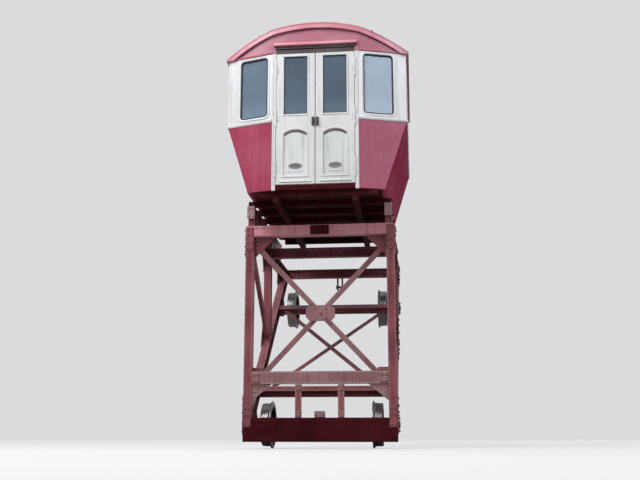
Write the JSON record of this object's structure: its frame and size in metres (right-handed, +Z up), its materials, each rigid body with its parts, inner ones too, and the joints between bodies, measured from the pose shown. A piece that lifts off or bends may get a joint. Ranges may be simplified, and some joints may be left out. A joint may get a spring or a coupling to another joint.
{
  "type": "funicular car",
  "caption": "Funicular car: a hollow passenger cabin with double doors at both ends, level on a wedge-shaped wheeled underframe for a steep straight track.",
  "frame": {"origin": "on the track's centreline, at rail-top level under the lower axle", "axes": "+X across the track to the right when looking uphill, +Y level and uphill, +Z up"},
  "size_m": [2.68, 4.3087, 6.0421],
  "materials": {
    "frame_paint": "weathered crimson gloss",
    "underfloor_paint": "dull dark crimson",
    "cabin_crimson": "gloss",
    "roof_crimson": "satin",
    "cabin_white": "gloss",
    "dark_trim": "satin",
    "window_glass": "clear",
    "wheel_iron": "oily with bright treads",
    "axle_steel": "oily",
    "box_iron": "greasy",
    "floor_wood": "worn boards",
    "bench_wood": "varnished"
  },
  "bodies": {
    "car": {"bottom_beam": "frame_paint", "front_posts": "frame_paint", "lower_crossbar": "frame_paint", "droppers": "frame_paint", "knee_plates": "frame_paint", "top_cross_beam": "frame_paint", "front_brace_a": "frame_paint", "front_brace_b": "frame_paint", "brace_gussets": "frame_paint", "top_chords": "frame_paint", "bottom_chords": "frame_paint", "mid_posts": "frame_paint", "side_diagonals": "frame_paint", "mid_cross_beam": "frame_paint", "apex_beam": "frame_paint", "chord_ties": "frame_paint", "plan_brace_a": "frame_paint", "plan_brace_b": "frame_paint", "rope_anchor": "frame_paint", "axle_boxes": "box_iron", "packing_blocks": "frame_paint", "bearers": "frame_paint", "cross_joists": "underfloor_paint", "floor_beams": "underfloor_paint", "floor_deck": "floor_wood", "thresholds": "cabin_crimson", "side_panels": "cabin_crimson", "end_panels": "cabin_crimson", "corner_posts": "cabin_white", "side_frames": "cabin_white", "end_frames": "cabin_white", "side_glass": "window_glass", "end_glass": "window_glass", "end_fascias": "cabin_crimson", "lintels": "dark_trim", "cantrails": "cabin_crimson", "roof": "roof_crimson", "door_posts": "cabin_white", "bench_seats": "bench_wood", "bench_supports": "cabin_crimson", "roof_rim": "roof_crimson", "stop_bracket": "frame_paint"},
    "wheelset_lower": {"axle_lower": "axle_steel", "wheels_lower": "wheel_iron"},
    "wheelset_upper": {"axle_upper": "axle_steel", "wheels_upper": "wheel_iron"},
    "door_downhill_right": {"door_leaf_downhill_right": "cabin_white", "door_glass_downhill_right": "window_glass", "door_lock_downhill_right": "dark_trim"},
    "door_downhill_left": {"door_leaf_downhill_left": "cabin_white", "door_glass_downhill_left": "window_glass", "door_lock_downhill_left": "dark_trim"},
    "door_uphill_right": {"door_leaf_uphill_right": "cabin_white", "door_glass_uphill_right": "window_glass", "door_lock_uphill_right": "dark_trim"},
    "door_uphill_left": {"door_leaf_uphill_left": "cabin_white", "door_glass_uphill_left": "window_glass", "door_lock_uphill_left": "dark_trim"}
  },
  "joints": [
    {"name": "lower_wheelset_roll", "type": "hinge", "parent": "car", "child": "wheelset_lower", "pos_m": [0, -0.18759, 0.24049], "axis": [1, 0, 0], "continuous": true},
    {"name": "upper_wheelset_roll", "type": "hinge", "parent": "car", "child": "wheelset_upper", "pos_m": [0, 2.41447, 2.2701], "axis": [1, 0, 0], "continuous": true},
    {"name": "downhill_right_door", "type": "hinge", "parent": "car", "child": "door_downhill_right", "pos_m": [0.563, -1.269, 4.5], "axis": [0, 0, 1], "range_deg": [0, 100]},
    {"name": "downhill_left_door", "type": "hinge", "parent": "car", "child": "door_downhill_left", "pos_m": [-0.563, -1.269, 4.5], "axis": [0, 0, -1], "range_deg": [0, 100]},
    {"name": "uphill_right_door", "type": "hinge", "parent": "car", "child": "door_uphill_right", "pos_m": [0.563, 2.049, 4.5], "axis": [0, 0, -1], "range_deg": [0, 100]},
    {"name": "uphill_left_door", "type": "hinge", "parent": "car", "child": "door_uphill_left", "pos_m": [-0.563, 2.049, 4.5], "axis": [0, 0, 1], "range_deg": [0, 100]}
  ]
}
